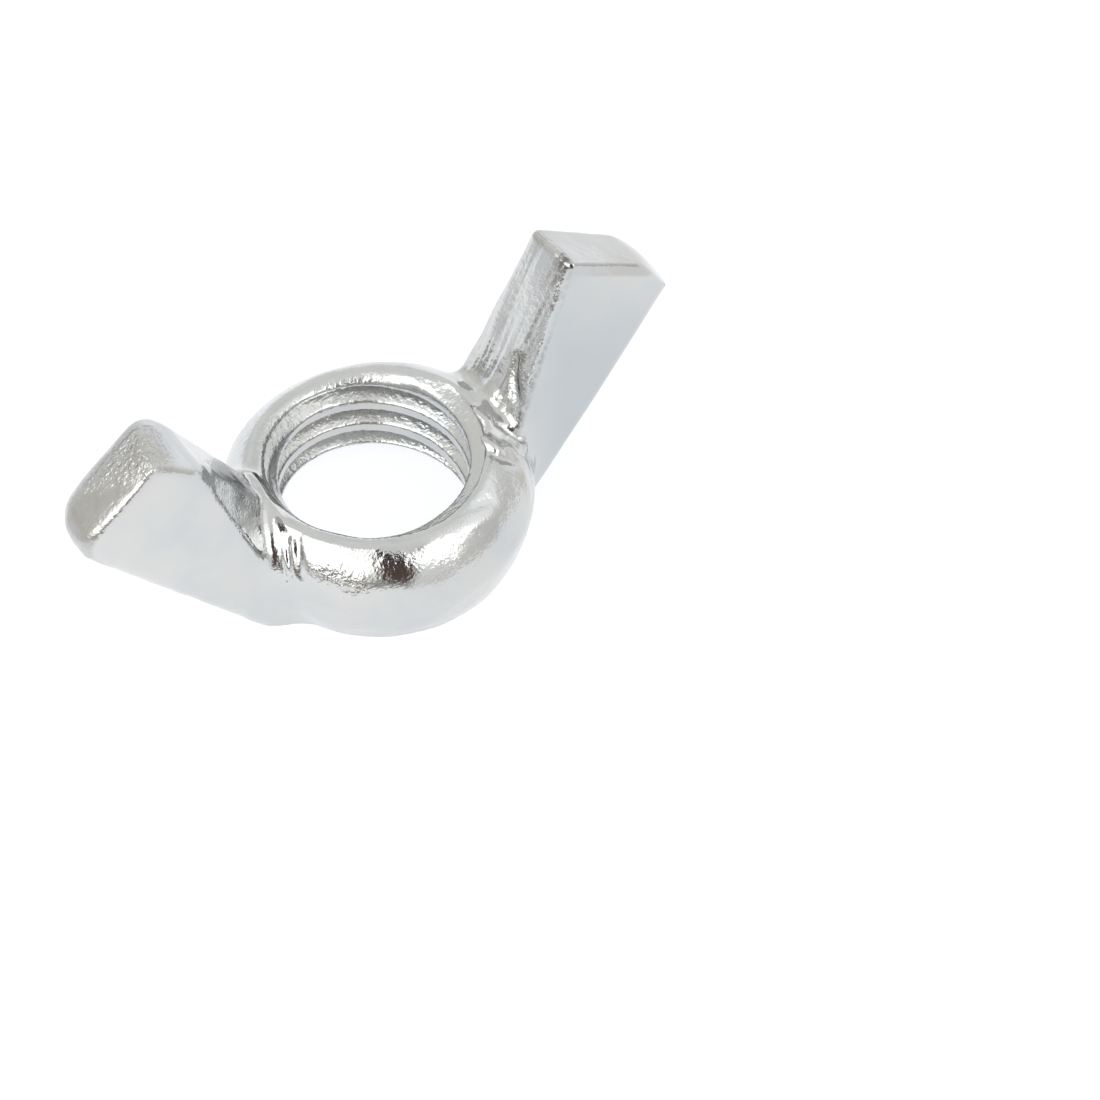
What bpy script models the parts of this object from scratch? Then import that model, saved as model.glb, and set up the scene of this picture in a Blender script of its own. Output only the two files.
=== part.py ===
"""Wing nut with two angular wings, cold forged in one piece and tapped M12.

The bearing face lies in the plane z = 0, centred on the origin.  The thread
axis is +Z, towards the wings, and the wings spread along X.  All in metres.
"""
import math

import bmesh
import bpy
from mathutils import Vector

MM = 0.001

# thread: ISO metric M12, coarse pitch, internal
THREAD_PITCH = 1.75 * MM
THREAD_MINOR_R = 5.053 * MM
THREAD_MAJOR_R = 6.0 * MM
THREAD_CREST_FLAT = THREAD_PITCH / 4.0
THREAD_ROOT_FLAT = THREAD_PITCH / 8.0
THREAD_SEGMENTS = 64

# hub ring
HUB_R = 8.4 * MM
HUB_HEIGHT = 7.1 * MM
HUB_SADDLE = 0.35 * MM
BEARING_R = 7.55 * MM
FLANK_HEIGHT = 2.5 * MM
SHOULDER_R = 3.3 * MM
SHOULDER_STEPS = 7
HUB_SEGMENTS = 72

# countersinks at the two mouths of the thread
MOUTH_R = 6.4 * MM
MOUTH_ANGLE = math.radians(45.0)
TOP_MOUTH_R = 6.35 * MM

# wing outline in the XZ plane: inner edge, outer edge, rounded tip
INNER_ROOT = Vector((5.6, 0.0)) * MM
INNER_KNEE = Vector((7.6, 4.9)) * MM
INNER_TIP = Vector((11.35, 14.5)) * MM
OUTER_ROOT = Vector((7.6, 0.0)) * MM
OUTER_TIP = Vector((18.45, 10.4)) * MM
TIP_CROWN = 0.35 * MM
INNER_TIP_R = 0.9 * MM
OUTER_TIP_R = 1.3 * MM

# wing thickness (half values) at the four corners of that outline
HALF_INNER_ROOT = 2.55 * MM
HALF_INNER_TIP = 1.95 * MM
HALF_OUTER_ROOT = 3.0 * MM
HALF_OUTER_TIP = 2.3 * MM
ROOT_FLARE = 0.9 * MM
ROOT_FLARE_START = 7.3 * MM
ROOT_FLARE_LENGTH = 3.2 * MM
ROOT_FLARE_TOP = 6.5 * MM

# edges of a wing section
INNER_EDGE_R = 0.4 * MM
OUTER_EDGE_R = 1.1 * MM
TIP_EDGE_R = 0.3 * MM
INNER_FACE_CROWN = 0.35 * MM
EDGE_STEPS = 3

SHARP_ANGLE = math.radians(28.0)


def clear_scene():
    """Start from an empty scene."""
    for item in list(bpy.data.objects):
        bpy.data.objects.remove(item, do_unlink=True)


def zinc_plate():
    """Bright zinc plating over steel."""
    mat = bpy.data.materials.new("bright_zinc_plate")
    mat.use_nodes = True
    shader = mat.node_tree.nodes["Principled BSDF"]
    shader.inputs["Base Color"].default_value = (0.72, 0.73, 0.72, 1.0)
    shader.inputs["Metallic"].default_value = 1.0
    shader.inputs["Roughness"].default_value = 0.24
    return mat


def solid_object(name, bm):
    """Turn a bmesh into an object with its faces pointing outwards."""
    bmesh.ops.recalc_face_normals(bm, faces=bm.faces)
    mesh = bpy.data.meshes.new(name)
    bm.to_mesh(mesh)
    bm.free()
    obj = bpy.data.objects.new(name, mesh)
    bpy.context.scene.collection.objects.link(obj)
    return obj


def bridge(bm, ring_a, ring_b):
    """Join two closed rings of the same length with quads."""
    count = len(ring_a)
    for i in range(count):
        j = (i + 1) % count
        bm.faces.new((ring_a[i], ring_a[j], ring_b[j], ring_b[i]))


def stack_rings(name, rings):
    """Close a pile of point rings into a solid with a flat face at each end."""
    bm = bmesh.new()
    loops = [[bm.verts.new(p) for p in ring] for ring in rings]
    for lower, upper in zip(loops[:-1], loops[1:]):
        bridge(bm, lower, upper)
    bm.faces.new(loops[0])
    bm.faces.new(loops[-1])
    return solid_object(name, bm)


def hub_profile():
    """Outside of the ring as (radius, height), from the bearing face up."""
    points = [(BEARING_R, 0.0), (HUB_R, FLANK_HEIGHT)]
    centre_z = HUB_HEIGHT - SHOULDER_R
    for i in range(SHOULDER_STEPS + 1):
        a = 0.5 * math.pi * i / SHOULDER_STEPS
        r = HUB_R - SHOULDER_R + SHOULDER_R * math.cos(a)
        points.append((r, centre_z + SHOULDER_R * math.sin(a)))
    return points


def saddle_lift(angle, z):
    """The rim rises towards the wings and dips between them."""
    share = max(0.0, (z - FLANK_HEIGHT) / (HUB_HEIGHT - FLANK_HEIGHT))
    return HUB_SADDLE * math.cos(2.0 * angle) * share * share


def make_hub():
    """Solid hub ring, still without its hole."""
    bm = bmesh.new()
    loops = []
    for r, z in hub_profile():
        ring = []
        for i in range(HUB_SEGMENTS):
            a = 2.0 * math.pi * i / HUB_SEGMENTS
            lift = saddle_lift(a, z)
            ring.append(bm.verts.new((r * math.cos(a), r * math.sin(a), z + lift)))
        loops.append(ring)
    for lower, upper in zip(loops[:-1], loops[1:]):
        bridge(bm, lower, upper)
    bm.faces.new(loops[0])
    apex = bm.verts.new((0.0, 0.0, HUB_HEIGHT))
    rim = loops[-1]
    for i in range(HUB_SEGMENTS):
        bm.faces.new((rim[i], rim[(i + 1) % HUB_SEGMENTS], apex))
    return solid_object("hub", bm)


def arc_pull(distance, radius):
    """How far a rounded corner stands back from its edge line."""
    if distance >= radius:
        return 0.0
    s = 1.0 - distance / radius
    return radius * (1.0 - math.sqrt(max(0.0, 1.0 - s * s)))


def inner_line(u):
    """Inner edge of the wing: a knee above the ring, then straight."""
    knee = 0.3
    if u < knee:
        return INNER_ROOT.lerp(INNER_KNEE, u / knee)
    return INNER_KNEE.lerp(INNER_TIP, (u - knee) / (1.0 - knee))


def outer_line(u):
    """Outer edge of the wing, one straight line down to the bearing face."""
    return OUTER_ROOT.lerp(OUTER_TIP, u)


def root_flare(x, z):
    """Extra half thickness where the side of the wing runs into the ring."""
    along = 1.0 - max(0.0, x - ROOT_FLARE_START) / ROOT_FLARE_LENGTH
    up = 1.0 - z / ROOT_FLARE_TOP
    return ROOT_FLARE * max(0.0, along) ** 2 * min(1.0, max(0.0, up) * 2.0)


def wing_section(u):
    """One closed section across the wing at the fraction u of its length."""
    inner = inner_line(u)
    outer = outer_line(u)
    across = outer - inner
    width = across.length
    across.normalize()
    length = (OUTER_TIP - OUTER_ROOT).length
    left = (1.0 - u) * length
    back_in = arc_pull(left, INNER_TIP_R)
    back_out = arc_pull(left, OUTER_TIP_R)
    shrink = arc_pull(left, TIP_EDGE_R)
    half_in = (1.0 - u) * HALF_INNER_ROOT + u * HALF_INNER_TIP - shrink
    half_out = (1.0 - u) * HALF_OUTER_ROOT + u * HALF_OUTER_TIP - shrink
    outer_r = OUTER_EDGE_R * min(1.0, 0.2 + 4.0 * u)
    start = back_in
    stop = width - back_out
    half_loop = []
    half_loop.append((start - INNER_FACE_CROWN, 0.0))
    half_loop.append((start - INNER_FACE_CROWN * 0.55, 0.55))
    for i in range(EDGE_STEPS + 1):
        a = 0.5 * math.pi * i / EDGE_STEPS
        run = start + INNER_EDGE_R * (1.0 - math.cos(a))
        drop = INNER_EDGE_R * (1.0 - math.sin(a)) / half_in
        half_loop.append((run, 1.0 - drop))
    for i in range(EDGE_STEPS + 1):
        a = 0.5 * math.pi * i / EDGE_STEPS
        run = stop - outer_r * (1.0 - math.sin(a))
        drop = outer_r * (1.0 - math.cos(a)) / half_out
        half_loop.append((run, 1.0 - drop))
    half_loop.append((stop, 0.0))
    bulge = Vector((across.y, -across.x)) * -TIP_CROWN * u ** 6
    points = []
    for run, share in half_loop:
        f = min(1.0, max(0.0, run / width))
        half = half_in + (half_out - half_in) * f
        spot = inner + across * run + bulge * 4.0 * f * (1.0 - f)
        half += root_flare(spot.x, spot.y)
        points.append((spot.x, share * half, spot.y))
    mirrored = [(x, -y, z) for x, y, z in reversed(points[1:-1])]
    return points + mirrored


def wing_stations():
    """Section positions, closer together at the flare and at the tip."""
    length = (OUTER_TIP - OUTER_ROOT).length
    stations = [0.0, 0.03, 0.07, 0.12, 0.18, 0.24, 0.3, 0.5, 0.75]
    for back in (1.3, 0.85, 0.5, 0.3, 0.15, 0.05, 0.0):
        stations.append(1.0 - back * MM / length)
    return stations


def make_wing(side):
    """One wing as a loft of sections; side is +1 or -1 along X."""
    rings = []
    for u in wing_stations():
        section = wing_section(u)
        rings.append([(side * x, y, z) for x, y, z in section])
    name = "wing_right" if side > 0 else "wing_left"
    return stack_rings(name, rings)


def thread_profile():
    """Radius against height over one pitch of the internal thread."""
    flank = (THREAD_PITCH - THREAD_CREST_FLAT - THREAD_ROOT_FLAT) / 2.0
    return [
        (THREAD_MINOR_R, 0.0),
        (THREAD_MINOR_R, THREAD_CREST_FLAT),
        (THREAD_MAJOR_R, THREAD_CREST_FLAT + flank),
        (THREAD_MAJOR_R, THREAD_CREST_FLAT + flank + THREAD_ROOT_FLAT),
    ]


def make_thread_cutter():
    """Helical core that leaves a right-hand internal thread behind."""
    profile = thread_profile()
    per_turn = len(profile)
    turns = int(math.ceil(HUB_HEIGHT / THREAD_PITCH)) + 3
    start_z = -2.0 * THREAD_PITCH
    bm = bmesh.new()
    columns = []
    for i in range(THREAD_SEGMENTS):
        a = 2.0 * math.pi * i / THREAD_SEGMENTS
        rise = THREAD_PITCH * i / THREAD_SEGMENTS
        column = []
        for turn in range(turns):
            for r, z in profile:
                height = start_z + turn * THREAD_PITCH + z + rise
                column.append(bm.verts.new((r * math.cos(a), r * math.sin(a), height)))
        columns.append(column)
    count = per_turn * turns
    for i in range(THREAD_SEGMENTS - 1):
        for k in range(count - 1):
            here = columns[i]
            there = columns[i + 1]
            bm.faces.new((here[k], there[k], there[k + 1], here[k + 1]))
    first = columns[0]
    last = columns[-1]
    for k in range(count - 1 - per_turn):
        m = k + per_turn
        bm.faces.new((last[k], first[m], first[m + 1], last[k + 1]))
    bottom = [first[k] for k in range(per_turn, -1, -1)]
    bottom += [columns[i][0] for i in range(1, THREAD_SEGMENTS)]
    top = [last[k] for k in range(count - 1 - per_turn, count)]
    top += [columns[i][-1] for i in range(THREAD_SEGMENTS - 2, -1, -1)]
    for rim, z in ((bottom, start_z), (top, start_z + (turns + 0.5) * THREAD_PITCH)):
        centre = bm.verts.new((0.0, 0.0, z))
        for i in range(len(rim)):
            bm.faces.new((rim[i], rim[(i + 1) % len(rim)], centre))
    return solid_object("thread_core", bm)


def make_mouth_cutter(name, z_mouth, direction, radius):
    """Cone that countersinks one mouth of the hole."""
    reach = 2.0 * MM
    slope = math.tan(MOUTH_ANGLE)
    inner_r = 4.0 * MM
    depth = (radius - inner_r) / slope
    outer_r = radius + reach * slope
    rings = []
    for r, z in ((inner_r, -depth), (outer_r, reach)):
        ring = []
        for i in range(THREAD_SEGMENTS):
            a = 2.0 * math.pi * i / THREAD_SEGMENTS
            ring.append((r * math.cos(a), r * math.sin(a), z_mouth + direction * z))
        rings.append(ring)
    return stack_rings(name, rings)


def combine(base, tool, operation):
    """Apply one exact boolean and drop the tool."""
    step = base.modifiers.new("step", "BOOLEAN")
    step.operation = operation
    step.solver = "EXACT"
    step.object = tool
    graph = bpy.context.evaluated_depsgraph_get()
    result = bpy.data.meshes.new_from_object(base.evaluated_get(graph))
    base.modifiers.clear()
    old = base.data
    base.data = result
    bpy.data.meshes.remove(old)
    bpy.data.objects.remove(tool, do_unlink=True)


def finish(obj, material):
    """Weld, shade smooth with crisp forged edges, and give it its zinc."""
    bm = bmesh.new()
    bm.from_mesh(obj.data)
    bmesh.ops.remove_doubles(bm, verts=bm.verts, dist=2e-6)
    bmesh.ops.dissolve_degenerate(bm, dist=2e-6, edges=bm.edges)
    bmesh.ops.triangulate(bm, faces=bm.faces)
    bmesh.ops.recalc_face_normals(bm, faces=bm.faces)
    bm.to_mesh(obj.data)
    bm.free()
    obj.data.shade_smooth()
    obj.data.set_sharp_from_angle(angle=SHARP_ANGLE)
    obj.data.materials.clear()
    obj.data.materials.append(material)


def build():
    clear_scene()
    body = make_hub()
    for side in (1, -1):
        combine(body, make_wing(side), "UNION")
    combine(body, make_thread_cutter(), "DIFFERENCE")
    combine(body, make_mouth_cutter("mouth_low", 0.0, -1.0, MOUTH_R), "DIFFERENCE")
    combine(body, make_mouth_cutter("mouth_top", HUB_HEIGHT, 1.0, TOP_MOUTH_R), "DIFFERENCE")
    body.name = "wing_nut_body"
    body.data.name = "wing_nut_body"
    finish(body, zinc_plate())


build()
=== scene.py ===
"""Studio picture of a bright zinc plated wing nut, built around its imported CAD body."""
import math

import bpy
import numpy as np
from mathutils import Matrix, Vector


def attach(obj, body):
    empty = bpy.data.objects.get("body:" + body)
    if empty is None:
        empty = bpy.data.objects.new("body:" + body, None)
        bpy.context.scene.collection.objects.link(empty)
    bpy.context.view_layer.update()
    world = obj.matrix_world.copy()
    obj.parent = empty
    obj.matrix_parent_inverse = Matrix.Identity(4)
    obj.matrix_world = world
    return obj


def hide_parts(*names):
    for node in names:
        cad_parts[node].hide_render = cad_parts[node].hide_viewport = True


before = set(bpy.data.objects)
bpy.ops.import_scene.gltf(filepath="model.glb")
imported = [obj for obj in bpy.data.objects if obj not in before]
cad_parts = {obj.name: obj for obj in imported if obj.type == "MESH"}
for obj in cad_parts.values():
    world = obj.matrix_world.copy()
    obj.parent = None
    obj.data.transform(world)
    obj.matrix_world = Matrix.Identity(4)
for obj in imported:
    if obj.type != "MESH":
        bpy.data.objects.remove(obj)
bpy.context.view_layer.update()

MM = 0.001

# ---------------------------------------------------------------- shape, in millimetres
# Hub ring: a fat rounded collar with a slightly waisted foot, forged a touch off the
# thread axis.
HUB_CENTRE = (0.13, -0.20)
HUB_R = 8.40
HUB_OVAL = 0.07
HUB_H = 7.10
SADDLE = 0.20
SHOULDER_R = 4.28
BEARING_R = 7.42
FLANK_H = 2.42
FLANK_ROUND = 0.6

# Internal thread of 1.75 pitch for an assumed M12, its crests and roots a little softened,
# with a countersink at either end
PITCH = 1.75
THREAD_START = 0.556
MINOR_R = 5.08
MAJOR_R = 5.90
MOUTH_R = 6.38
TOP_MOUTH = (-0.50, 0.05)
TOP_MOUTH_R = 5.62
TOP_MOUTH_Z = 6.2
TOP_MOUTH_SLOPE = 0.6
LIP_R = 0.8
WALL_WOBBLE = 0.03
THREAD_SLACK = 0.6
FOOT_EDGE_R = 0.12
BORE_EDGE_R = 0.10

# Wing outlines in the plane of the wings: outer foot, outer corner, end corner, inner tip,
# inner foot. "half" is half the thickness at inner foot, inner tip, outer tip, outer foot,
# "lean" the sideways drift at foot and tip, "round" the corner radii along the outline,
# "crown" the bulge of the inner face and how fast it fades towards the tip. The pairs
# "blunt" (extra edge radius at the outer corner), "dome" (bulge of the outer end) and
# "edge" (edge radius) are for the near side, then the far side. "tilt" slants the top end.
# The two wings are unequal.
RIGHT = {
    "side": 1,
    "line": [(7.50, 0.0), (18.14, 9.87), (16.47, 12.30), (11.14, 15.28), (7.15, 5.75)],
    "half": (3.07, 1.80, 1.69, 3.46),
    "lean": (0.27, 0.54),
    "round": (0.34, 0.30, 0.42),
    "crown": (0.30, 0.0),
    "blunt": (0.10, 0.50),
    "dome": (0.25, 0.25),
    "tilt": 0.10,
    "edge": (0.27, 0.30),
}
LEFT = {
    "side": -1,
    "line": [(8.55, 0.0), (18.57, 10.32), (15.47, 13.09), (12.83, 15.26), (6.15, 5.62)],
    "half": (2.61, 1.94, 2.01, 3.39),
    "lean": (0.03, 0.12),
    "round": (1.70, 0.60, 1.5),
    "crown": (0.10, 1.25),
    "blunt": (0.55, 1.15),
    "dome": (0.35, 0.85),
    "tilt": 0.20,
    "edge": (0.25, 0.95),
}
LOWER_EDGE_R = 1.1
INNER_EDGE_R = 0.30
BLUNT_REACH = 2.2
THICKNESS_SPREAD = 7.0
WING_STARTS_X = 5.0
RIGHT_FILLET = 1.0
LEFT_FILLET = 1.3

# The left wing has a slanted, slightly hollow cut on its near inner edge and a facet over
# its inner tip.
CUT_NORMAL = (0.725, -0.569, 0.388)
CUT_OFFSET = 2.27
CUT_HOLLOW = 0.22
CUT_HOLLOW_X = -8.6
CUT_HOLLOW_REACH = 1.6
CUT_EDGE_R = 0.2
TIP_NORMAL = (0.513, -0.153, 0.845)
TIP_POINT = (-13.74, -1.95, 14.33)
TIP_EDGE_R = 0.35
CUTS_END_X = -4.0

VOXEL = 0.14


def rmax(a, b, r):
    """Cut of two solids with the shared edge rounded off."""
    inside = np.minimum(np.maximum(a, b), -r)
    return inside + np.hypot(np.maximum(a + r, 0), np.maximum(b + r, 0))


def smin(a, b, k):
    """Union of two solids with a fillet between them."""
    h = np.maximum(k - np.abs(a - b), 0) / k
    return np.minimum(a, b) - h * h * k * 0.25


def half_plane(x, z, p, q):
    """Distance outside the line from p to q, counted to its right-hand side."""
    ex, ez = q[0] - p[0], q[1] - p[1]
    n = math.hypot(ex, ez)
    return (x - p[0]) * ez / n - (z - p[1]) * ex / n


def bump(d, w):
    return np.exp(-((d / w) ** 2))


def hub_distance(x, y, z):
    hx, hy = x - HUB_CENTRE[0], y - HUB_CENTRE[1]
    r = np.hypot(hx, hy)
    c2 = (hx * hx - hy * hy) / np.maximum(r * r, 1.0)
    qx = r - HUB_R - HUB_OVAL * c2 + SHOULDER_R
    qz = z - HUB_H - SADDLE * c2 + SHOULDER_R
    round_off = np.hypot(np.maximum(qx, 0), np.maximum(qz, 0))
    body = np.minimum(np.maximum(qx, qz), 0) + round_off - SHOULDER_R
    lean = math.hypot(FLANK_H, HUB_R - BEARING_R)
    flank = ((r - BEARING_R) * FLANK_H - z * (HUB_R - BEARING_R)) / lean
    return rmax(body, flank, FLANK_ROUND)


def wing_distance(x, y, z, wing):
    d, c, e, b, a = wing["line"]
    rc, re, rb = wing["round"]
    inner_foot, inner_tip, outer_tip, outer_foot = wing["half"]
    x = x * wing["side"]
    lower = half_plane(x, z, d, c)
    inner = half_plane(x, z, b, a)
    mx, mz = (a[0] + d[0]) / 2, (a[1] + d[1]) / 2
    tx, tz = (b[0] + c[0]) / 2, (b[1] + c[1]) / 2
    length = math.hypot(tx - mx, tz - mz)
    ux, uz = (tx - mx) / length, (tz - mz) / length
    u = np.clip(((x - mx) * ux + (z - mz) * uz) / length, -0.3, 1.2)
    v = (x - mx) * uz - (z - mz) * ux
    w = np.clip(0.5 + v / THICKNESS_SPREAD, -0.1, 1.1)
    half_root = (1 - w) * inner_foot + w * outer_foot
    half_tip = (1 - w) * inner_tip + w * outer_tip
    half = (1 - u) * half_root + u * half_tip
    off = y - wing["lean"][0] - wing["lean"][1] * u
    across = np.clip(np.abs(off) / half, 0, 1.2)
    crown, fade = wing["crown"]
    inner = inner + crown * (across ** 2.4 - 0.3) * np.clip(1.25 - fade * u, 0, 1)
    side = np.abs(off) - half
    dome = np.where(off < 0, wing["dome"][0], wing["dome"][1])
    outer_end = half_plane(x, z, c, e) + dome * across ** 2 - 0.35 * wing["dome"][1]
    top_end = half_plane(x, z, e, b) + wing["tilt"] * off
    ends = rmax(outer_end, top_end, re)
    shape = rmax(rmax(lower, ends, rc), inner, rb)
    edge = np.where(off < 0, wing["edge"][0], wing["edge"][1])
    blunt = np.where(off < 0, wing["blunt"][0], wing["blunt"][1])
    shape = rmax(shape, side, edge + blunt * bump(np.hypot(x - c[0], z - c[1]), BLUNT_REACH))
    shape = np.maximum(shape, rmax(lower, side, LOWER_EDGE_R))
    shape = np.maximum(shape, rmax(inner, side, INNER_EDGE_R))
    return np.maximum(shape, WING_STARTS_X - x)


def trail(x, y, z, path, width):
    """Soft ridge profile along a bent path of points."""
    near = np.full(x.shape, 9.0)
    for p, q in zip(path[:-1], path[1:]):
        ex, ey, ez = q[0] - p[0], q[1] - p[1], q[2] - p[2]
        n2 = ex * ex + ey * ey + ez * ez
        t = np.clip(((x - p[0]) * ex + (y - p[1]) * ey + (z - p[2]) * ez) / n2, 0, 1)
        dx, dy, dz = x - p[0] - t * ex, y - p[1] - t * ey, z - p[2] - t * ez
        near = np.minimum(near, np.sqrt(dx * dx + dy * dy + dz * dz))
    return bump(near, width)


# Folds pushed up and creases pressed in where the wings were drawn out of the ring:
# height (negative for a crease), half width, path.
FOLDS = [
    # right root
    (0.20, 0.34, [(5.1, 0.9, 7.15), (5.58, -0.55, 7.11), (5.99, -1.4, 6.89), (6.55, -2.04, 6.47)]),
    (0.22, 0.36, [(4.51, -1.26, 7.2), (4.84, -2.23, 7.1), (5.29, -3.02, 6.85), (5.45, -3.7, 6.55)]),
    (0.20, 0.30, [(6.75, -2.62, 6.25), (7.1, -3.0, 5.85), (7.5, -3.1, 5.4)]),
    (-0.30, 0.24, [(6.35, -1.8, 6.6), (6.91, -2.40, 6.2), (7.40, -2.75, 5.75)]),
    (-0.24, 0.30, [(5.15, -0.9, 7.2), (5.55, -2.0, 7.0), (6.1, -2.75, 6.6)]),
    (-0.26, 0.42, [(5.9, 0.9, 7.1), (6.2, 0.1, 7.0)]),
    (-0.14, 0.30, [(6.3, 2.6, 6.8), (6.6, 1.6, 7.0), (6.9, 0.6, 7.0), (6.95, -0.8, 6.7)]),
    (0.28, 0.70, [(7.05, 0.3, 6.85), (6.95, -0.15, 6.85)]),
    (-0.22, 0.34, [(8.75, -0.35, 9.0), (8.3, -0.75, 8.1), (8.0, -1.35, 7.4)]),
    (0.10, 0.30, [(8.8, -1.2, 8.9), (8.35, -1.7, 8.0)]),
    (-0.22, 0.28, [(4.95, -3.45, 6.8), (5.35, -3.85, 6.5)]),
    (-0.12, 0.35, [(5.6, -3.9, 6.4), (6.3, -4.1, 5.8)]),
    (0.10, 0.40, [(6.4, -3.4, 6.2), (6.5, -4.6, 5.4), (6.2, -5.4, 4.6)]),
    # left root
    (-0.22, 0.36, [(-6.9, 0.6, 6.9), (-6.97, -0.4, 6.85), (-7.2, -1.5, 6.8), (-7.55, -2.5, 6.4)]),
    (0.20, 0.34, [(-6.5, 1.6, 6.6), (-6.35, 0.3, 6.8), (-6.5, -1.0, 6.8), (-6.75, -2.2, 6.5)]),
    (-0.12, 0.17, [(-7.31, -2.5, 6.1), (-7.41, -3.05, 5.0), (-7.45, -3.6, 3.98)]),
    (0.15, 0.18, [(-7.15, -2.6, 6.1), (-7.3, -3.1, 5.05), (-7.38, -3.6, 4.2)]),
    (-0.12, 0.16, [(-6.98, -2.7, 6.05), (-7.12, -3.2, 5.05), (-7.25, -3.68, 4.2)]),
    (0.11, 0.18, [(-6.75, -2.85, 6.1), (-6.95, -3.4, 5.1), (-7.15, -3.9, 4.3)]),
    (-0.09, 0.20, [(-6.48, -3.0, 6.05), (-6.77, -3.7, 5.3), (-7.0, -4.2, 4.5)]),
    # ridge and hollow down the inner face of the left wing
    (0.13, 0.24, [(-10.4, -1.0, 11.6), (-8.83, -0.72, 8.99), (-7.5, -0.5, 7.15)]),
    (-0.10, 0.40, [(-8.6, 0.05, 8.6), (-7.6, 0.25, 7.2)]),
    # soft line round the crown on the near side
    (-0.07, 0.30, [(3.49, -5.91, 6.16), (1.56, -6.03, 6.45), (-0.89, -6.04, 6.47), (-2.2, -5.87, 6.44)]),
    (0.06, 0.50, [(3.3, -6.6, 5.8), (1.4, -6.75, 6.05), (-0.8, -6.8, 6.05)]),
]


def forging_marks(x, y, z):
    out = np.zeros_like(x)
    pick = (np.abs(x) < 11.0) & (np.abs(y) < 8.0) & (z > 3.0) & (z < 12.5)
    px, py, pz = x[pick], y[pick], z[pick]
    total = np.zeros_like(px)
    for height, width, path in FOLDS:
        total += height * trail(px, py, pz, path, width)
    out[pick] = total
    return out


def make_waves(count, wavelength, spread, seed):
    rng = np.random.RandomState(seed)
    waves = []
    for _ in range(count):
        axis = rng.normal(size=3)
        axis = axis / np.linalg.norm(axis)
        length = wavelength * math.exp(rng.uniform(-spread, spread))
        waves.append((axis * 2 * math.pi / length, rng.uniform(0, 2 * math.pi)))
    return waves


WAVES = make_waves(9, 2.6, 0.5, 4)
WAVE_HEIGHT = 0.008


def waviness(x, y, z):
    """Faint hammered unevenness of the forged skin."""
    total = np.zeros_like(x)
    for k, phase in WAVES:
        total += np.sin(k[0] * x + k[1] * y + k[2] * z + phase)
    return total * WAVE_HEIGHT


STREAKS = make_waves(5, 1.0, 0.6, 11)
DENTS = make_waves(12, 0.62, 0.45, 7)


def inner_face_streaks(x, y, z):
    """Shallow draw lines running up the inner face of the right wing."""
    drift = y + 0.10 * np.sin(0.9 * z) + 0.04 * np.sin(2.3 * z + 1.0)
    lines = 0.0
    for k, phase in STREAKS:
        n = float(np.linalg.norm(k))
        lines = lines + np.sin(n * drift + phase + 0.05 * k[2] * z) * 0.055 / n
    inner = half_plane(x, z, RIGHT["line"][3], RIGHT["line"][4])
    return lines * bump(inner, 0.6) * np.clip((z - 7.0) / 1.5, 0, 1) * np.clip((15.6 - z) / 2.5, 0, 1)


def sheared_end(x, y, z):
    """Torn texture on the end face of the left wing, rougher towards its upper far side."""
    total = np.zeros_like(x)
    for k, phase in DENTS:
        total += np.sin(k[0] * x + k[1] * y + k[2] * z + phase)
    end = half_plane(-x, z, LEFT["line"][2], LEFT["line"][3])
    rough = np.clip(0.30 + 0.30 * (y + 0.4) + 0.25 * (z - 13.0), 0.12, 1.3)
    return np.where(x < -9.0, total * 0.0075 * rough * bump(end, 0.5), 0.0)


def bore_distance(x, y, z, r):
    angle = np.arctan2(y, x)
    phase = (z - THREAD_START) / PITCH - angle / (2 * math.pi)
    off = np.abs(phase - np.floor(phase) - 0.5) * PITCH
    depth = MAJOR_R - (off - PITCH / 16.0) * math.tan(math.radians(60.0))
    wall = np.clip(depth, MINOR_R, MAJOR_R)
    wall = wall + WALL_WOBBLE * np.sin(3.0 * angle + 2.0 * z)
    thread = (r - wall) * THREAD_SLACK
    return np.minimum(thread, (r + z - MOUTH_R) * 0.7071)


def top_mouth_distance(x, y, z):
    rx = np.hypot(x - TOP_MOUTH[0], y - TOP_MOUTH[1])
    reach = math.hypot(1.0, TOP_MOUTH_SLOPE)
    return (rx - (z - TOP_MOUTH_Z) * TOP_MOUTH_SLOPE - TOP_MOUTH_R) / reach


def left_wing_distance(x, y, z):
    """Left wing with its slanted cut and its tip facet."""
    left = wing_distance(x, y, z, LEFT)
    cut = CUT_NORMAL[0] * x + CUT_NORMAL[1] * y + CUT_NORMAL[2] * z + CUT_OFFSET
    cut = cut + CUT_HOLLOW * bump(x - CUT_HOLLOW_X, CUT_HOLLOW_REACH)
    left = np.where(x < CUTS_END_X, rmax(left, cut, CUT_EDGE_R), left)
    dx, dy, dz = x - TIP_POINT[0], y - TIP_POINT[1], z - TIP_POINT[2]
    tip = TIP_NORMAL[0] * dx + TIP_NORMAL[1] * dy + TIP_NORMAL[2] * dz
    return np.where(x < CUTS_END_X, rmax(left, tip, TIP_EDGE_R), left)


def nut_distance(x, y, z):
    r = np.hypot(x, y)
    body = hub_distance(x, y, z)
    body = smin(body, wing_distance(x, y, z, RIGHT), RIGHT_FILLET)
    body = smin(body, left_wing_distance(x, y, z), LEFT_FILLET)
    body = rmax(body, -top_mouth_distance(x, y, z), LIP_R)
    body = body - forging_marks(x, y, z) - waviness(x, y, z)
    body = body - inner_face_streaks(x, y, z) - sheared_end(x, y, z)
    body = rmax(body, -z, FOOT_EDGE_R)
    return rmax(body, -bore_distance(x, y, z, r), BORE_EDGE_R)


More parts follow.
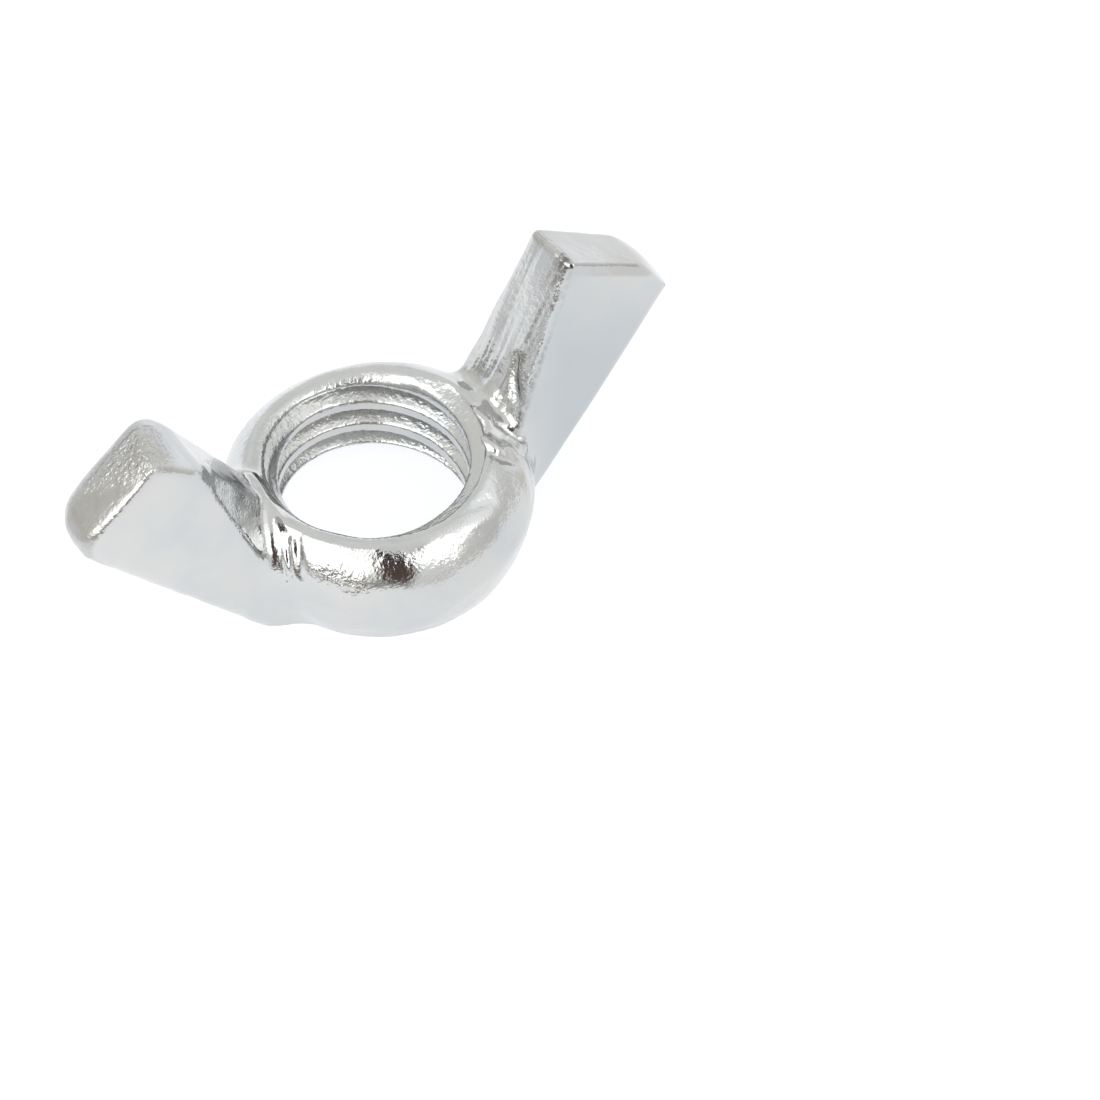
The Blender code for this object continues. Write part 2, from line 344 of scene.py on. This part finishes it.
# ---------------------------------------------------------------- surface extraction
def surface_net(fn, low, high, step):
    """Closed quad mesh of fn = 0, one vertex per crossed cell."""
    n = [int(math.ceil((h - l) / step)) + 1 for l, h in zip(low, high)]
    axes = [l + step * np.arange(k) for l, k in zip(low, n)]
    f = np.empty(n, np.float32)
    for k in range(0, n[0], 16):
        gx, gy, gz = np.meshgrid(axes[0][k:k + 16], axes[1], axes[2], indexing="ij")
        f[k:k + 16] = fn(gx, gy, gz)
    inside = f < 0
    shape = tuple(k - 1 for k in n)
    count = np.zeros(shape, np.int8)
    total = np.zeros(shape + (3,), np.float32)
    for axis in range(3):
        a = [slice(None)] * 3
        b = [slice(None)] * 3
        a[axis] = slice(0, -1)
        b[axis] = slice(1, None)
        fa, fb = f[tuple(a)], f[tuple(b)]
        cross = inside[tuple(a)] != inside[tuple(b)]
        t = np.where(cross, fa / np.where(cross, fa - fb, 1), 0)
        o1, o2 = [k for k in range(3) if k != axis]
        for d1 in (0, 1):
            for d2 in (0, 1):
                sl = [slice(None)] * 3
                sl[o1] = slice(d1, d1 + shape[o1])
                sl[o2] = slice(d2, d2 + shape[o2])
                c = cross[tuple(sl)]
                count += c
                total[..., axis] += np.where(c, t[tuple(sl)], 0)
                total[..., o1] += c * d1
                total[..., o2] += c * d2
    used = count > 0
    index = np.full(shape, -1, np.int64)
    index[used] = np.arange(used.sum())
    cell = np.argwhere(used)
    pts = np.array(low) + step * (cell + total[used] / count[used][:, None])
    quads = []
    for axis in range(3):
        a = [slice(None)] * 3
        b = [slice(None)] * 3
        a[axis] = slice(0, -1)
        b[axis] = slice(1, None)
        ia, ib = inside[tuple(a)], inside[tuple(b)]
        o1, o2 = (axis + 1) % 3, (axis + 2) % 3
        for flip, mask in ((False, ia & ~ib), (True, ~ia & ib)):
            e = np.argwhere(mask)
            e = e[(e[:, o1] > 0) & (e[:, o2] > 0)]
            corner = []
            for d1, d2 in ((1, 1), (0, 1), (0, 0), (1, 0)):
                c = e.copy()
                c[:, o1] -= d1
                c[:, o2] -= d2
                corner.append(index[c[:, 0], c[:, 1], c[:, 2]])
            q = np.stack(corner, 1)
            quads.append(q[:, ::-1] if flip else q)
    return pts, np.concatenate(quads)


def settle(fn, pts, rounds=4):
    """Move every vertex onto the surface along the slope of the distance field."""
    h = 0.01
    for _ in range(rounds):
        x, y, z = pts.T
        f = fn(x, y, z)
        g = np.stack([
            fn(x + h, y, z) - fn(x - h, y, z),
            fn(x, y + h, z) - fn(x, y - h, z),
            fn(x, y, z + h) - fn(x, y, z - h),
        ], 1) / (2 * h)
        g2 = np.maximum((g ** 2).sum(1), 0.05)
        step = (f / g2)[:, None] * g
        pts = pts - np.clip(step, -0.08, 0.08)
    return pts


def build_nut():
    low = (-19.2, -9.2, -0.4)
    high = (19.2, 9.2, 15.8)
    step = VOXEL * 1.0
    pts, quads = surface_net(nut_distance, low, high, step)
    pts = settle(nut_distance, pts)
    mesh = bpy.data.meshes.new("wing_nut_skin")
    mesh.from_pydata((pts * MM).tolist(), [], quads.tolist())
    mesh.validate()
    mesh.shade_smooth()
    obj = bpy.data.objects.new("wing_nut_skin", mesh)
    bpy.context.scene.collection.objects.link(obj)
    return obj


# ---------------------------------------------------------------- material
def noise(tree, coords, scale, detail=2.0, roughness=0.5):
    n = tree.nodes.new("ShaderNodeTexNoise")
    n.inputs["Scale"].default_value = scale
    n.inputs["Detail"].default_value = detail
    n.inputs["Roughness"].default_value = roughness
    tree.links.new(coords, n.inputs["Vector"])
    return n.outputs["Fac"]


def ramp(tree, fac, stops):
    n = tree.nodes.new("ShaderNodeValToRGB")
    while len(n.color_ramp.elements) < len(stops):
        n.color_ramp.elements.new(0.5)
    for element, (pos, value) in zip(n.color_ramp.elements, stops):
        element.position = pos
        if isinstance(value, (int, float)):
            value = (value, value, value)
        element.color = (*value, 1.0)
    tree.links.new(fac, n.inputs["Fac"])
    return n.outputs["Color"]


def math_node(tree, op, *values):
    n = tree.nodes.new("ShaderNodeMath")
    n.operation = op
    for socket, value in zip(n.inputs, values):
        if isinstance(value, (int, float)):
            socket.default_value = value
        else:
            tree.links.new(value, socket)
    return n.outputs[0]


def smooth_step(tree, value, start, end, low=0.0, high=1.0):
    n = tree.nodes.new("ShaderNodeMapRange")
    n.interpolation_type = "SMOOTHSTEP"
    n.inputs["From Min"].default_value = start
    n.inputs["From Max"].default_value = end
    n.inputs["To Min"].default_value = low
    n.inputs["To Max"].default_value = high
    tree.links.new(value, n.inputs["Value"])
    return n.outputs["Result"]


def mix_colour(tree, fac, a, b, blend="MIX"):
    n = tree.nodes.new("ShaderNodeMix")
    n.data_type = "RGBA"
    n.blend_type = blend
    if isinstance(fac, (int, float)):
        n.inputs[0].default_value = fac
    else:
        tree.links.new(fac, n.inputs[0])
    for socket, value in ((n.inputs[6], a), (n.inputs[7], b)):
        if isinstance(value, tuple):
            socket.default_value = (*value, 1.0)
        else:
            tree.links.new(value, socket)
    return n.outputs[2]


def stretched(tree, coords, turn, scale):
    n = tree.nodes.new("ShaderNodeMapping")
    n.vector_type = "TEXTURE"
    n.inputs["Rotation"].default_value = turn
    n.inputs["Scale"].default_value = scale
    tree.links.new(coords, n.inputs["Vector"])
    return n.outputs["Vector"]


def along(tree, coords, axis):
    n = tree.nodes.new("ShaderNodeVectorMath")
    n.operation = "DOT_PRODUCT"
    tree.links.new(coords, n.inputs[0])
    n.inputs[1].default_value = axis
    return n.outputs["Value"]


# Lean of the right wing's inner face from upright, in degrees, and depth of the relief.
INNER_FACE_LEAN = 22.9
RELIEF_DEPTH = 0.000030

# How much rougher the peel is where each mask applies.
PEEL_STRENGTH = [("left_end", 0.4), ("torn", 7.0), ("in_bore", 0.7), ("band", 1.6)]

# Rough spots on the ring: place, reach, strength of the peel there, in metres.
SCUFFS = [
    ((-0.0061, -0.0052, 0.0051), 0.0013, 1.6),
    ((-0.0051, -0.0063, 0.0047), 0.0012, 1.5),
    ((0.0046, -0.0052, 0.0058), 0.0018, 0.9),
    ((-0.0046, 0.0050, 0.0060), 0.0022, 1.3),
    ((0.0010, 0.0058, 0.0066), 0.0026, 0.8),
]


def near_point(tree, coords, point, outer, inner):
    """1 within the inner reach of a point, 0 beyond the outer one."""
    n = tree.nodes.new("ShaderNodeVectorMath")
    n.operation = "DISTANCE"
    tree.links.new(coords, n.inputs[0])
    n.inputs[1].default_value = point
    return smooth_step(tree, n.outputs["Value"], outer, inner)


def zinc_masks(tree, coords):
    """Where the skin changes: inside the bore, wing ends, the right wing's inner face; also the right
    wing's near flank, where shade is painted.
    """
    split = tree.nodes.new("ShaderNodeSeparateXYZ")
    tree.links.new(coords, split.inputs[0])
    across, deep, _ = split.outputs
    across_2 = math_node(tree, "MULTIPLY", across, across)
    deep_2 = math_node(tree, "MULTIPLY", deep, deep)
    radius = math_node(tree, "SQRT", math_node(tree, "ADD", across_2, deep_2))
    in_bore = smooth_step(tree, radius, 0.0062, 0.0057)
    left_end = smooth_step(tree, across, -0.0118, -0.0128)
    left_end = math_node(tree, "MULTIPLY", left_end, smooth_step(tree, deep, -0.00188, -0.00165))
    left_end = math_node(tree, "MULTIPLY", left_end, smooth_step(tree, deep, 0.0021, 0.0018))
    torn = smooth_step(tree, along(tree, coords, (0.0, 0.75, 0.66)), 0.0078, 0.0088)
    torn = math_node(tree, "MULTIPLY", left_end, torn)
    torn = math_node(tree, "MULTIPLY", torn, smooth_step(tree, deep, 0.0014, 0.0010))
    right_end = smooth_step(tree, along(tree, coords, (0.4858, 0.0, 0.874)), 0.0181, 0.01835)
    drawn = smooth_step(tree, along(tree, coords, (-0.922, 0.0, 0.389)), -0.00490, -0.00460)
    drawn = math_node(tree, "MULTIPLY", drawn, smooth_step(tree, across, 0.0066, 0.0078))
    # along the near edge of that face: a calm rim, then a smeared darker band
    gap = along(tree, coords, (-0.068, 1.0, -0.161))
    calm = smooth_step(tree, gap, -0.0041, -0.0036)
    band = math_node(tree, "MULTIPLY", drawn, smooth_step(tree, gap, -0.0021, -0.0030))
    band = math_node(tree, "MULTIPLY", band, calm)
    # painted shade: the near flank of the right wing is darkened and made bluer, as if it caught less
    # light
    flank = smooth_step(tree, across, 0.0075, 0.0110)
    flank = math_node(tree, "MULTIPLY", flank, smooth_step(tree, deep, -0.0008, -0.0018))
    return {
        "in_bore": in_bore, "left_end": left_end, "torn": torn, "right_end": right_end,
        "drawn": drawn, "calm": calm, "band": band, "flank": flank,
    }


def zinc_noises(tree, coords):
    face_lean = (0.0, math.radians(INNER_FACE_LEAN), 0.0)
    return {
        "speck": noise(tree, coords, 7000.0, 1.0),
        "peel": noise(tree, coords, 3300.0, 2.0, 0.55),
        "broad": noise(tree, coords, 300.0, 3.0),
        "wide": noise(tree, coords, 110.0, 2.0),
        "draw": noise(tree, stretched(tree, coords, face_lean, (1.0, 1.0, 9.0)), 3200.0, 2.0),
        "score": noise(tree, stretched(tree, coords, face_lean, (1.0, 1.0, 12.0)), 1100.0, 2.0, 0.6),
    }


def zinc_colour(tree, mask, grain):
    """Cool grey, a little yellower and bluer in patches, duller on cut and rubbed faces, with painted
    shade on the near flank of the right wing.
    """
    colour = ramp(tree, grain["broad"], [
        (0.30, (0.565, 0.580, 0.590)), (0.55, (0.610, 0.618, 0.612)), (0.75, (0.632, 0.628, 0.605))])
    # painted shade: mixes a darker, bluer grey into the near flank of the right wing
    painted_shade_on_flank = math_node(tree, "MULTIPLY", mask["flank"], 0.85)
    colour = mix_colour(tree, painted_shade_on_flank, colour, (0.50, 0.535, 0.555))
    ends = math_node(tree, "MAXIMUM", mask["right_end"], mask["left_end"])
    uneven = smooth_step(tree, grain["broad"], 0.35, 0.65, 0.25, 0.75)
    ends = math_node(tree, "MULTIPLY", ends, uneven)
    colour = mix_colour(tree, ends, colour, (0.470, 0.462, 0.440))
    smear = smooth_step(tree, grain["score"], 0.60, 0.42)
    spots = smooth_step(tree, grain["peel"], 0.62, 0.45, 0.25, 1.0)
    smear = math_node(tree, "MULTIPLY", smear, spots)
    faint = math_node(tree, "MULTIPLY", mask["drawn"], 0.16)
    smear = math_node(tree, "MULTIPLY", smear, math_node(tree, "MULTIPLY_ADD", mask["band"], 0.62, faint))
    return mix_colour(tree, smear, colour, (0.13, 0.115, 0.10))


def zinc_roughness(tree, mask, grain):
    rough = smooth_step(tree, grain["wide"], 0.3, 0.75, 0.08, 0.19)
    rough = math_node(tree, "MULTIPLY_ADD", mask["in_bore"], 0.10, rough)
    return math_node(tree, "MULTIPLY_ADD", mask["left_end"], 0.08, rough)


def zinc_relief(tree, coords, mask, grain):
    """Orange peel, strong in patches and nearly polished between them, with draw lines."""
    patch = smooth_step(tree, noise(tree, coords, 420.0, 2.0), 0.42, 0.62, 0.30, 1.15)
    for name, strength in PEEL_STRENGTH:
        patch = math_node(tree, "MULTIPLY_ADD", mask[name], strength, patch)
    for point, outer, strength in SCUFFS:
        scuff = near_point(tree, coords, point, outer, outer * 0.45)
        patch = math_node(tree, "MULTIPLY_ADD", scuff, strength, patch)
    height = math_node(tree, "MULTIPLY", grain["peel"], patch)
    height = math_node(tree, "MULTIPLY_ADD", grain["speck"], 0.25, height)
    lines = math_node(tree, "MULTIPLY_ADD", mask["drawn"], 0.5, 0.2)
    height = math_node(tree, "MULTIPLY_ADD", grain["draw"], lines, height)
    scores = math_node(tree, "MULTIPLY", mask["drawn"], 6.5)
    height = math_node(tree, "MULTIPLY_ADD", grain["score"], scores, height)
    rim = math_node(tree, "SUBTRACT", 1.0, mask["calm"])
    rim = math_node(tree, "MULTIPLY", rim, math_node(tree, "MULTIPLY", mask["drawn"], 0.85))
    return math_node(tree, "MULTIPLY", height, math_node(tree, "SUBTRACT", 1.0, rim))


def zinc():
    mat = bpy.data.materials.new("bright_zinc_plate")
    mat.use_nodes = True
    tree = mat.node_tree
    shader = tree.nodes["Principled BSDF"]
    coords = tree.nodes.new("ShaderNodeTexCoord").outputs["Object"]
    mask = zinc_masks(tree, coords)
    grain = zinc_noises(tree, coords)
    tree.links.new(zinc_colour(tree, mask, grain), shader.inputs["Base Color"])
    tree.links.new(zinc_roughness(tree, mask, grain), shader.inputs["Roughness"])
    shader.inputs["Metallic"].default_value = 1.0
    b = tree.nodes.new("ShaderNodeBump")
    b.inputs["Strength"].default_value = 1.0
    b.inputs["Distance"].default_value = RELIEF_DEPTH
    tree.links.new(zinc_relief(tree, coords, mask, grain), b.inputs["Height"])
    tree.links.new(b.outputs["Normal"], shader.inputs["Normal"])
    return mat


# ---------------------------------------------------------------- studio
def direction(azimuth, elevation):
    a, e = math.radians(azimuth), math.radians(elevation)
    return (math.cos(a) * math.cos(e), math.sin(a) * math.cos(e), math.sin(e))


def patch_of_sky(tree, coords, azimuth, elevation, wide, tall, soft):
    """1 inside an oval patch of sky, 0 outside, sizes in degrees from its middle."""
    n = tree.nodes.new("ShaderNodeMapping")
    n.vector_type = "TEXTURE"
    n.inputs["Location"].default_value = direction(azimuth, elevation)
    n.inputs["Rotation"].default_value = (0.0, -math.radians(elevation), math.radians(azimuth))
    n.inputs["Scale"].default_value = (1.0, math.sin(math.radians(wide)), math.sin(math.radians(tall)))
    tree.links.new(coords, n.inputs["Vector"])
    reach = tree.nodes.new("ShaderNodeVectorMath")
    reach.operation = "LENGTH"
    tree.links.new(n.outputs["Vector"], reach.inputs[0])
    return smooth_step(tree, reach.outputs["Value"], 1.0 + soft, 1.0 - soft)


# Soft boxes and dark gaps round the nut: azimuth, elevation, half width, half height,
# softness, colour. Later entries lie over earlier ones.
TENT = [
    (200, 40, 34, 24, 0.30, (2.5, 2.5, 2.45)),
    (290, 38, 30, 13, 0.35, (2.6, 2.6, 2.55)),
    (332, 46, 20, 16, 0.60, (1.25, 1.25, 1.25)),
    (30, 2, 40, 14, 0.70, (1.30, 1.31, 1.34)),
    (180, 4, 30, 9, 0.50, (0.62, 0.60, 0.57)),
    (140, 6, 34, 13, 0.50, (0.78, 0.75, 0.71)),
    (325, 6, 50, 12, 0.60, (0.75, 0.74, 0.72)),
    (135, 30, 30, 12, 0.70, (0.82, 0.81, 0.78)),
    (255, 29, 15, 25, 0.30, (0.11, 0.075, 0.065)),
    (252, 48, 8, 9, 0.40, (0.05, 0.045, 0.045)),
    (222, 8, 26, 5, 0.60, (0.22, 0.19, 0.17)),
]


def studio_world():
    world = bpy.data.worlds.new("light_tent")
    bpy.context.scene.world = world
    world.use_nodes = True
    tree = world.node_tree
    coords = tree.nodes.new("ShaderNodeTexCoord").outputs["Generated"]
    mottling = noise(tree, coords, 3.0, 2.0)
    colour = ramp(tree, mottling, [(0.3, (0.84, 0.84, 0.82)), (0.7, (1.02, 1.02, 1.0))])
    for azimuth, elevation, wide, tall, soft, tone in TENT:
        inside = patch_of_sky(tree, coords, azimuth, elevation, wide, tall, soft)
        colour = mix_colour(tree, inside, colour, tone)
    back = tree.nodes["Background"]
    tree.links.new(colour, back.inputs["Color"])
    back.inputs["Strength"].default_value = 1.0


# Half the floor's side, and how far it lies under the bearing face so the two never
# share a plane.
FLOOR_HALF = 3.0
FLOOR_DROP = 0.00002


def make_floor():
    """White acrylic sheet lit a little from below, brighter on the left."""
    mesh = bpy.data.meshes.new("floor")
    s = FLOOR_HALF
    z = -FLOOR_DROP
    mesh.from_pydata([(-s, -s, z), (s, -s, z), (s, s, z), (-s, s, z)], [], [(0, 1, 2, 3)])
    floor = bpy.data.objects.new("floor", mesh)
    bpy.context.scene.collection.objects.link(floor)
    mat = bpy.data.materials.new("lit_acrylic")
    mat.use_nodes = True
    tree = mat.node_tree
    shader = tree.nodes["Principled BSDF"]
    shader.inputs["Base Color"].default_value = (0.25, 0.25, 0.25, 1.0)
    shader.inputs["Roughness"].default_value = 0.9
    shader.inputs["Specular IOR Level"].default_value = 0.0
    shader.inputs["Emission Color"].default_value = (0.985, 1.0, 1.03, 1.0)
    coords = tree.nodes.new("ShaderNodeTexCoord").outputs["Object"]
    left = along(tree, coords, (-0.93, 0.37, 0.0))
    out = along(tree, coords, (-0.81, 0.59, 0.0))
    glow = smooth_step(tree, left, -0.018, 0.022, 0.80, 0.92)
    fade = smooth_step(tree, out, 0.0225, 0.050, 1.0, 0.62)
    tree.links.new(math_node(tree, "MULTIPLY", glow, fade), shader.inputs["Emission Strength"])
    mesh.materials.append(mat)


# Camera: the nut's axes as the camera sees them (right, up, towards the camera),
# and where the centre of the bearing face falls in the square picture.
CAMERA_DISTANCE = 0.2113
CAM_TURN = Vector((-0.694, 0.201, 0.517))
PICTURE_MM = 59.476
CENTRE_X, CENTRE_Y = 0.3397, 0.4813


def make_camera():
    data = bpy.data.cameras.new("camera")
    cam = bpy.data.objects.new("camera", data)
    bpy.context.scene.collection.objects.link(cam)
    turn = Matrix.Rotation(CAM_TURN.length, 3, CAM_TURN.normalized())
    right, up, back = turn.row[0], turn.row[1], turn.row[2]
    basis = Matrix((right, up, back)).transposed()
    data.sensor_width = 36.0
    data.sensor_fit = "HORIZONTAL"
    data.lens = data.sensor_width * CAMERA_DISTANCE / (PICTURE_MM * MM)
    # aim past the nut so that it falls left of the middle of the frame
    aim_x = (0.5 - CENTRE_X) * PICTURE_MM * MM
    aim_y = (CENTRE_Y - 0.5) * PICTURE_MM * MM
    aim = Vector((aim_x, aim_y, -CAMERA_DISTANCE)).normalized()
    swing = Vector((0.0, 0.0, -1.0)).rotation_difference(aim).to_matrix()
    place = basis @ Vector((0.0, 0.0, CAMERA_DISTANCE))
    cam.matrix_world = Matrix.Translation(place) @ (basis @ swing).to_4x4()
    data.clip_start = 0.005
    data.clip_end = 20.0
    bpy.context.scene.camera = cam


skin = build_nut()
skin.data.materials.append(zinc())
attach(skin, "root")
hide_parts("wing_nut_body")

studio_world()
make_floor()
make_camera()
bpy.context.scene.view_settings.view_transform = "Standard"
